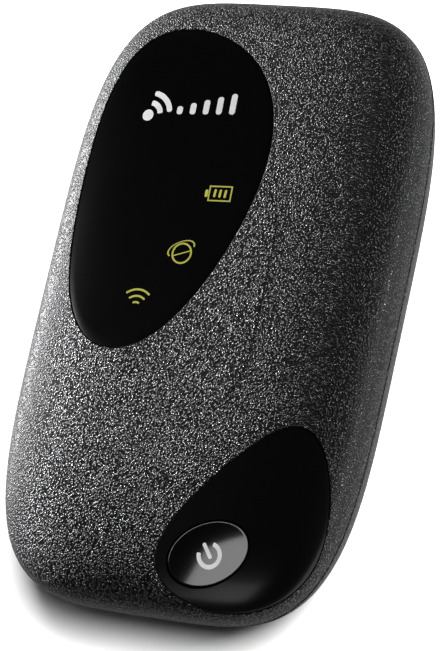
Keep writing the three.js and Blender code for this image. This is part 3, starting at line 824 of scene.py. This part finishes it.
def block(name, centre, size, corner=0.0):
    """A plain box to join on or cut with, whose edges along X may be rounded."""
    bm = bmesh.new()
    bmesh.ops.create_cube(bm, size=1.0)
    bmesh.ops.scale(bm, verts=bm.verts, vec=size)
    bmesh.ops.translate(bm, verts=bm.verts, vec=centre)
    if corner:
        long = [e for e in bm.edges if abs((e.verts[0].co - e.verts[1].co).x) > MM]
        bmesh.ops.bevel(
            bm, geom=long, offset=corner, segments=5, profile=0.5, affect="EDGES", material=-1
        )
    return cutter(bm, name)


def usb_notch():
    """The solid that the socket's opening takes away from both halves."""
    low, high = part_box("usb_socket")
    wide = high.y - low.y + 2 * SOCKET_MARGIN
    tall = high.z - low.z + 2 * SOCKET_MARGIN
    centre = (SHELL_LOW.x, (low.y + high.y) / 2, (low.z + high.z) / 2)
    return block("usb_notch", centre, (SOCKET_REACH, wide, tall), SOCKET_CORNER)


class HOTSPOT_OT_front_shell(bpy.types.Operator):
    """Front half of the case, with its conformal recesses"""

    bl_idname = "hotspot.front_shell"
    bl_label = "Front Shell"

    def execute(self, context):
        case, inserts = case_settings(), insert_settings()
        base = case.seam_height + case.seam_gap / 2
        chamfer = case.rim_chamfer
        rim = [(1 - chamfer / (case.width / 2), base), (1.0, base + chamfer)]
        outer_points = rim + [p for p in front_profile(0.0) if p[1] > base + 1.5 * chamfer]
        outer = spun_surface(outer_points, 0.0)
        inner = spun_surface(front_profile(case.shell_wall), case.shell_wall)
        shell = finished(walled(outer, inner), "front_shell_skin")
        depth = inserts.thickness + CUT_CLEARANCE
        tools = [
            cutter(recess(window_loop, depth, inserts.rim_break), "window_recess"),
            cutter(recess(panel_loop, depth, inserts.rim_break), "panel_recess"),
            cutter(prism(button_loop(CUT_CLEARANCE), base, 2 * case.thickness), "button_hole"),
            usb_notch(),
        ]
        cut(shell, tools)
        dressed(shell, "device", "grained_case", ["front_shell"])
        return {"FINISHED"}


def snap_tabs(rim):
    """The six tabs that stand on the cover's rim inside the front shell."""
    case = case_settings()
    middle = case.shell_wall + TAB_CLEARANCE + TAB_THICKNESS / 2
    height, level = TAB_RISE + TAB_DROP, rim + (TAB_RISE - TAB_DROP) / 2
    tabs = []
    for side in (-1, 1):
        for y in (-TAB_PLACE, TAB_PLACE):
            turn = math.atan2(y, side * case.width / 2)
            x = outline_radius(turn, middle) * math.cos(turn)
            tabs.append(block("tab", (x, y, level), (TAB_THICKNESS, TAB_WIDTH, height)))
        y = side * (case.length / 2 - middle)
        tabs.append(block("tab", (0, y, level), (TAB_WIDTH, TAB_THICKNESS, height)))
    return tabs


def thumb_notch(rim):
    """The opening at the top end that lets a thumbnail lift the front half."""
    return block("thumb_notch", (0, case_settings().length / 2, rim), NOTCH_SIZE)


class HOTSPOT_OT_rear_cover(bpy.types.Operator):
    """Removable back of the case"""

    bl_idname = "hotspot.rear_cover"
    bl_label = "Rear Cover"

    def execute(self, context):
        case = case_settings()
        base = case.seam_height - case.seam_gap / 2
        chamfer = case.rim_chamfer
        rim = [(1 - chamfer / (case.width / 2), base), (COVER_RIM_SHARE, base - chamfer)]
        outer_points = rim + [p for p in back_profile(0.0) if p[1] < base - 1.5 * chamfer]
        outer = spun_surface(outer_points, 0.0)
        inner = spun_surface(back_profile(case.cover_wall), case.cover_wall)
        cover = finished(walled(outer, inner), "rear_cover_skin")
        cut(cover, snap_tabs(base), "UNION")
        cut(cover, [usb_notch(), thumb_notch(base)])
        dressed(cover, "rear_cover", "grained_case", ["rear_cover"])
        return {"FINISHED"}


def broken_edge(piece, width, segments):
    """Rounds the sharp edges and keeps what the piece's modifiers make."""
    edge = piece.modifiers.new("Edge", "BEVEL")
    edge.width = width
    edge.segments = segments
    edge.limit_method = "ANGLE"
    edge.angle_limit = EDGE_ANGLE
    bake(piece)


def insert_piece(bm, name, replaced):
    """Gives a draped sheet its thickness and its polished edge."""
    inserts = insert_settings()
    piece = finished(bm, name)
    wall = piece.modifiers.new("Wall", "SOLIDIFY")
    wall.thickness = inserts.thickness
    wall.offset = -1.0
    wall.use_even_offset = True
    broken_edge(piece, inserts.edge, 3)
    dressed(piece, "device", "polished_insert", [replaced], sharp=60.0)


class HOTSPOT_OT_display_window(bpy.types.Operator):
    """Gloss window over the indicator lights"""

    bl_idname = "hotspot.display_window"
    bl_label = "Display Window"

    def execute(self, context):
        loop = window_loop(-insert_settings().gap)
        bm = disc_sheet(loop, WINDOW_RINGS, insert_level)
        insert_piece(bm, "window_pane", "display_window")
        return {"FINISHED"}


def matched_oval(loop):
    """The oval's points that lie in the same directions as the points of the loop round it."""
    inserts, centre = insert_settings(), button_centre()
    points = []
    for point in loop:
        way = (point - centre) @ Matrix.Rotation(inserts.hole_tilt, 2)
        turn = math.atan2(way.y, way.x)
        across, along = math.cos(turn) / inserts.hole_reach, math.sin(turn) / inserts.hole_girth
        radius = 1 / math.hypot(across, along)
        place = Vector((radius * math.cos(turn), radius * math.sin(turn)))
        points.append(centre + place @ Matrix.Rotation(-inserts.hole_tilt, 2))
    return points


class HOTSPOT_OT_button_panel(bpy.types.Operator):
    """Gloss insert round the power button"""

    bl_idname = "hotspot.button_panel"
    bl_label = "Button Panel"

    def execute(self, context):
        loop = panel_loop(-insert_settings().gap)
        hole = matched_oval(loop)
        bm = ring_sheet(loop, hole, PANEL_RINGS, insert_level)
        insert_piece(bm, "panel_plate", "button_panel")
        return {"FINISHED"}


def button_level(x, y):
    """Height of the dished top of the button."""
    inserts = insert_settings()
    place = (Vector((x, y)) - button_centre()) @ Matrix.Rotation(inserts.hole_tilt, 2)
    out = min(1.0, math.hypot(place.x / inserts.hole_reach, place.y / inserts.hole_girth))
    return insert_level(x, y) - inserts.dish * (1 - out * out)


class HOTSPOT_OT_power_button(bpy.types.Operator):
    """Oval power button with a dished top"""

    bl_idname = "hotspot.power_button"
    bl_label = "Power Button"

    def execute(self, context):
        inserts = insert_settings()
        bm = disc_sheet(button_loop(-inserts.button_gap), CAP_RINGS, button_level)
        lower = bmesh.ops.extrude_face_region(bm, geom=bm.faces[:], use_keep_orig=True)["geom"]
        lower = [part for part in lower if isinstance(part, bmesh.types.BMVert)]
        bmesh.ops.translate(bm, verts=lower, vec=(0, 0, -CAP_DEPTH))
        bmesh.ops.recalc_face_normals(bm, faces=bm.faces)
        piece = finished(bm, "button_cap")
        broken_edge(piece, CAP_EDGE, 4)
        dressed(piece, "power_button", "polished_button", ["power_button"], sharp=60.0)
        return {"FINISHED"}


# ---- printed and lit graphics


def placed(bm, verts, centre, tilt):
    """Turns a flat shape and moves it to its centre."""
    turn = Matrix.Rotation(tilt, 3, "Z")
    bmesh.ops.rotate(bm, verts=verts, cent=(0, 0, 0), matrix=turn)
    bmesh.ops.translate(bm, verts=verts, vec=(*centre, 0))


def arc_shape(bm, centre, radius, width, start, sweep, stretch=1.0, tilt=0.0):
    """A flat stroke along an arc, whose circle may be stretched and turned."""
    steps = max(6, round(abs(sweep) / math.radians(6)))
    verts = [bm.verts.new((radius + side * width / 2, 0, 0)) for side in (-1, 1)]
    edge = bm.edges.new(verts)
    full = abs(sweep) >= 2 * math.pi - 1e-6
    bmesh.ops.rotate(bm, verts=verts, cent=(0, 0, 0), matrix=Matrix.Rotation(start, 3, "Z"))
    before = set(bm.verts) - set(verts)
    bmesh.ops.spin(
        bm,
        geom=verts + [edge],
        cent=(0, 0, 0),
        axis=(0, 0, 1),
        angle=sweep,
        steps=steps,
        use_merge=full,
    )
    made = [v for v in bm.verts if v not in before]
    if not full:
        soften_ends(bm, made, width)
        made = [v for v in bm.verts if v not in before]
    bmesh.ops.scale(bm, verts=made, vec=(1, stretch, 1))
    placed(bm, made, centre, tilt)


def soften_ends(bm, verts, width):
    """Rounds the four free corners of a stroke."""
    corners = [v for v in verts if len(v.link_edges) == 2]
    reach = 0.42 * width
    bmesh.ops.bevel(
        bm, geom=corners, offset=reach, segments=4, profile=0.5, affect="VERTICES", material=-1
    )


def bar_shape(bm, centre, length, width, tilt):
    """A flat bar with rounded ends."""
    before = set(bm.verts)
    bmesh.ops.create_grid(bm, x_segments=max(2, round(length / (0.5 * MM))), y_segments=1, size=0.5)
    made = [v for v in bm.verts if v not in before]
    bmesh.ops.scale(bm, verts=made, vec=(length, width, 1))
    soften_ends(bm, made, width)
    made = [v for v in bm.verts if v not in before]
    placed(bm, made, centre, tilt)


def frame_shape(bm, centre, size, width, tilt):
    """A flat rectangular outline."""
    before = set(bm.verts)
    bmesh.ops.create_grid(bm, x_segments=1, y_segments=1, size=0.5)
    made = [v for v in bm.verts if v not in before]
    bmesh.ops.scale(bm, verts=made, vec=(*size, 1))
    face = made[0].link_faces[0]
    bmesh.ops.inset_region(
        bm, faces=[face], thickness=width, use_boundary=True, use_even_offset=True
    )
    bmesh.ops.delete(bm, geom=[face], context="FACES_ONLY")
    made = [v for v in bm.verts if v not in before]
    placed(bm, made, centre, tilt)


def printed(bm, name, body, material, level):
    """Lays flat shapes on a surface as a thin film, half sunk in it."""
    bmesh.ops.recalc_face_normals(bm, faces=bm.faces)
    down = [f for f in bm.faces if f.normal.z < 0]
    bmesh.ops.reverse_faces(bm, faces=down)
    lifted = bmesh.ops.extrude_face_region(bm, geom=list(bm.faces))["geom"]
    top = {g for g in lifted if isinstance(g, bmesh.types.BMVert)}
    for v in bm.verts:
        v.co.z = level(v.co.x, v.co.y) + (FILM_RISE if v in top else -FILM_SINK)
    bmesh.ops.recalc_face_normals(bm, faces=bm.faces)
    return finished(bm, name, body, material, (), sharp=50.0)


class HOTSPOT_OT_indicator_icons(bpy.types.Operator):
    """Battery, globe and wireless icons lit from behind the window"""

    bl_idname = "hotspot.indicator_icons"
    bl_label = "Indicator Icons"

    def execute(self, context):
        stroke = insert_settings().icon_stroke
        bm = bmesh.new()
        tilt = math.radians(2.2)
        frame_shape(bm, BATTERY_CENTRE, (3.75 * MM, 2.4 * MM), stroke, tilt)
        terminal = BATTERY_CENTRE + Vector((-2.2, -0.1)) * MM
        bar_shape(bm, terminal, 1.15 * MM, 0.5 * MM, math.radians(92))
        for place in (-0.85, 0.0, 0.85):
            spot = BATTERY_CENTRE + Vector((place, 0.02)) * MM
            bar_shape(bm, spot, 1.25 * MM, 0.36 * MM, math.radians(88))
        printed(bm, "icon_battery", "device", "lit_icon", insert_level)

        bm = bmesh.new()
        arc_shape(bm, GLOBE_CENTRE, 1.5 * MM, 1.3 * stroke, 0.0, 2 * math.pi)
        bar_shape(bm, GLOBE_CENTRE, 2.7 * MM, 0.8 * stroke, math.radians(20))
        printed(bm, "icon_globe", "device", "lit_icon", insert_level)

        bm = bmesh.new()
        orbit = GLOBE_CENTRE + ORBIT_OFFSET
        start, sweep, tilt = math.radians(-22), math.radians(224), math.radians(25)
        arc_shape(bm, orbit, 2.15 * MM, 1.2 * stroke, start, sweep, 0.52, tilt)
        printed(bm, "icon_orbit", "device", "lit_icon", insert_level)

        bm = bmesh.new()
        for radius, spread in ((1.0, 62), (1.95, 82), (2.95, 82)):
            start = math.radians(90 - spread / 2)
            arc_shape(bm, WIRELESS_SOURCE, radius * MM, 1.5 * stroke, start, math.radians(spread))
        printed(bm, "icon_wireless", "device", "lit_icon", insert_level)
        return {"FINISHED"}


class HOTSPOT_OT_window_mark(bpy.types.Operator):
    """Wordless printed mark: a dot with two arcs, and five rising bars"""

    bl_idname = "hotspot.window_mark"
    bl_label = "Window Mark"

    def execute(self, context):
        tilt = math.radians(3.4)
        turn = Matrix.Rotation(-tilt, 2)
        bm = bmesh.new()
        arc_shape(bm, MARK_FOOT, 0.45 * MM, 0.9 * MM, 0.0, 2 * math.pi)
        for radius in (2.0, 3.55):
            start, sweep = math.radians(8) + tilt, math.radians(74)
            arc_shape(bm, MARK_FOOT, radius * MM, 0.85 * MM, start, sweep)
        for i, height in enumerate((1.3, 1.8, 2.3, 2.8, 3.3)):
            place = Vector((-9.9 + 2.15 * i, 26.3 + height / 2)) * MM
            spot = MARK_FOOT + (place - MARK_FOOT) @ turn
            bar_shape(bm, spot, height * MM, 0.95 * MM, math.radians(90) + tilt)
        # the printed mark glows with painted light
        printed(bm, "window_mark", "device", "white_print", insert_level)
        return {"FINISHED"}


class HOTSPOT_OT_power_symbol(bpy.types.Operator):
    """Ring and bar printed in the hollow of the power button"""

    bl_idname = "hotspot.power_symbol"
    bl_label = "Power Symbol"

    def execute(self, context):
        inserts = insert_settings()
        width = inserts.symbol_stroke
        radius = inserts.symbol_radius - width / 2
        bm = bmesh.new()
        arc_shape(bm, SYMBOL_CENTRE, radius, width, math.radians(173), math.radians(265))
        upward = math.radians(125)
        middle = SYMBOL_CENTRE + Vector((math.cos(upward), math.sin(upward))) * 0.72 * MM
        bar_shape(bm, middle, 2.45 * MM, 0.9 * width, upward)
        # the printed power symbol glows with painted light
        printed(bm, "power_symbol", "power_button", "grey_print", button_level)
        return {"FINISHED"}


# ---- inner parts


INNER_FINISHES = {
    "case": "grained_case",
    "gloss_insert": "polished_insert",
    "button": "polished_button",
    "dark_plastic": "black_moulding",
    "frame_plastic": "frame_moulding",
    "board": "solder_mask",
    "steel": "tinned_steel",
    "gold": "gold_plating",
    "clear": "milky_pipe",
    "lamp": "lamp_body",
    "cell_wrap": "film_wrap",
    "card": "card_plastic",
    "paper": "label_paper",
}


class HOTSPOT_OT_inner_parts(bpy.types.Operator):
    """Gives every carried-over part inside the case its finish"""

    bl_idname = "hotspot.inner_parts"
    bl_label = "Inner Parts"

    def execute(self, context):
        for part in frame["nodes"].values():
            for place in part.material_slots:
                place.material = bpy.data.materials[INNER_FINISHES[place.material.name]]
        return {"FINISHED"}


# ---- stage


# colours of the floor and the room, in reflections and as the camera sees them
FLOOR_BOUNCE = (0.25, 0.25, 0.25)
FLOOR_SEEN = (0.9, 0.9, 0.9)
ROOM_BOUNCE = (0.02, 0.02, 0.02)
ROOM_SEEN = (0.85, 0.85, 0.85)

FLOOR_HALF = 3.0
LENS = 174.63
SENSOR = 36.0
CAMERA_PLACE = Vector((208.21, -110.40, 410.09)) * MM
CAMERA_RIGHT = Vector((0.888536, 0.215148, -0.405234))
CAMERA_DOWN = Vector((0.091163, -0.948413, -0.303647))
CAMERA_AHEAD = Vector((-0.449658, 0.232859, -0.862313))
LIGHT_TARGET = Vector((0, 0, 0.01))

# name, place (m), size (m), power (W)
FLOOR_LIGHTS = (("floor_light", (0.5, 0.35, 0.85), (0.9, 0.9), 56.0),)
SOFTBOXES = (
    ("left_light", (-0.28, 0.1, 0.042), (0.16, 0.12), 2.3),
    ("edge_light", (-0.24, 0.03, 0.02), (0.12, 0.04), 0.9),
    ("top_light", (-0.04, 0.2, 0.35), (0.2, 0.2), 0.25),
    ("right_light", (0.4, 0.02, 0.02), (0.4, 0.08), 2.4),
)
INSERT_LIGHTS = (
    ("panel_light", (-0.1, -0.32, 0.4), (0.2, 0.2), 0.14),
    ("window_light", (-0.3, -0.02, 0.16), (0.12, 0.12), 0.3),
    ("rim_light", (0.3, 0.26, 0.04), (0.3, 0.05), 1.5),
)
CAP_LIGHTS = (("button_light", (-0.171, -0.004, 0.242), (0.17, 0.17), 0.42),)


def seen_tone(tree, bounce, seen):
    """One colour for what the camera sees and another for what reflections pick up."""
    path = node(tree, "ShaderNodeLightPath", -600)
    return mixed(tree, path.outputs["Is Camera Ray"], bounce, seen)


def add_floor(scene):
    """A plain pale floor."""
    bm = bmesh.new()
    bmesh.ops.create_grid(bm, x_segments=1, y_segments=1, size=FLOOR_HALF)
    mesh = bpy.data.meshes.new("floor")
    bm.to_mesh(mesh)
    bm.free()
    floor = bpy.data.objects.new("floor", mesh)
    scene.collection.objects.link(floor)
    material, tree, shader = new_material("floor_paper")
    shader.inputs["Roughness"].default_value = 0.9
    shader.inputs["Specular IOR Level"].default_value = 0.0
    tree.links.new(seen_tone(tree, FLOOR_BOUNCE, FLOOR_SEEN), shader.inputs["Base Color"])
    mesh.materials.append(material)
    return floor


def add_camera(scene):
    """The camera, above and to the right of the bottom end."""
    camera = bpy.data.cameras.new("camera")
    camera.lens = LENS
    camera.sensor_width = SENSOR
    camera.clip_start = 0.01
    camera.clip_end = 10.0
    holder = bpy.data.objects.new("camera", camera)
    scene.collection.objects.link(holder)
    turn = Matrix((CAMERA_RIGHT, -CAMERA_DOWN, -CAMERA_AHEAD)).transposed().to_4x4()
    holder.matrix_world = Matrix.Translation(CAMERA_PLACE) @ turn
    scene.camera = holder


def light_group(name, pieces, state):
    """A collection that makes a light reach only the pieces, or everything but them."""
    group = bpy.data.collections.new(name)
    for piece in pieces:
        group.objects.link(piece)
    for member in group.collection_objects:
        member.light_linking.link_state = state
    return group


def add_light(name, place, size, power, reach):
    """A rectangular softbox that faces the middle of the case."""
    light = bpy.data.lights.new(name, "AREA")
    light.shape = "RECTANGLE"
    light.size, light.size_y = size
    light.energy = power
    holder = bpy.data.objects.new(name, light)
    bpy.context.scene.collection.objects.link(holder)
    way = LIGHT_TARGET - Vector(place)
    turn = way.to_track_quat("-Z", "Y").to_matrix().to_4x4()
    holder.matrix_world = Matrix.Translation(place) @ turn
    holder.light_linking.receiver_collection = reach


def add_lights(floor):
    """One light for the floor, softboxes for the case and soft lights for the polished pieces."""
    pane, plate, cap = (bpy.data.objects[n] for n in ("window_pane", "panel_plate", "button_cap"))
    groups = (
        ("floor_only", [floor], "INCLUDE", FLOOR_LIGHTS),
        ("case_and_inside", [floor, pane, plate, cap], "EXCLUDE", SOFTBOXES),
        ("inserts_only", [pane, plate], "INCLUDE", INSERT_LIGHTS),
        ("cap_only", [cap], "INCLUDE", CAP_LIGHTS),
    )
    for name, pieces, state, softboxes in groups:
        group = light_group(name, pieces, state)
        for softbox in softboxes:
            add_light(*softbox, group)


class HOTSPOT_OT_stage(bpy.types.Operator):
    """Pale floor, soft lights and camera"""

    bl_idname = "hotspot.stage"
    bl_label = "Stage"

    def execute(self, context):
        scene = context.scene
        scene.view_settings.view_transform = "Standard"
        floor = add_floor(scene)
        world = bpy.data.worlds.new("studio")
        world.use_nodes = True
        tree = world.node_tree
        tone = seen_tone(tree, ROOM_BOUNCE, ROOM_SEEN)
        tree.links.new(tone, tree.nodes["Background"].inputs["Color"])
        scene.world = world
        add_camera(scene)
        add_lights(floor)
        return {"FINISHED"}


# ---- panel and registration


class HOTSPOT_PT_panel(bpy.types.Panel):
    """Lists the hotspot's pieces"""

    bl_label = "Mobile Hotspot"
    bl_idname = "HOTSPOT_PT_panel"
    bl_space_type = "VIEW_3D"
    bl_region_type = "UI"
    bl_category = "Hotspot"

    def draw(self, context):
        layout = self.layout
        for settings in (case_settings(), insert_settings(), finish_settings()):
            box = layout.box()
            for key in settings.bl_rna.properties.keys():
                if key not in {"rna_type", "name"}:
                    box.prop(settings, key)
        for operator in OPERATORS:
            layout.operator(operator.bl_idname)


SETTINGS = (CaseSettings, InsertSettings, FinishSettings)
OPERATORS = (
    HOTSPOT_OT_finishes,
    HOTSPOT_OT_front_shell,
    HOTSPOT_OT_rear_cover,
    HOTSPOT_OT_display_window,
    HOTSPOT_OT_button_panel,
    HOTSPOT_OT_power_button,
    HOTSPOT_OT_indicator_icons,
    HOTSPOT_OT_window_mark,
    HOTSPOT_OT_power_symbol,
    HOTSPOT_OT_inner_parts,
    HOTSPOT_OT_stage,
)


def register():
    for cls in (*SETTINGS, *OPERATORS, HOTSPOT_PT_panel):
        bpy.utils.register_class(cls)
    bpy.types.Scene.hotspot_case = PointerProperty(type=CaseSettings)
    bpy.types.Scene.hotspot_inserts = PointerProperty(type=InsertSettings)
    bpy.types.Scene.hotspot_finish = PointerProperty(type=FinishSettings)


def unregister():
    del bpy.types.Scene.hotspot_finish
    del bpy.types.Scene.hotspot_inserts
    del bpy.types.Scene.hotspot_case
    for cls in reversed((*SETTINGS, *OPERATORS, HOTSPOT_PT_panel)):
        bpy.utils.unregister_class(cls)


def main():
    register()
    for operator in OPERATORS:
        group, name = operator.bl_idname.split(".")
        getattr(getattr(bpy.ops, group), name)()


if __name__ == "__main__":
    main()
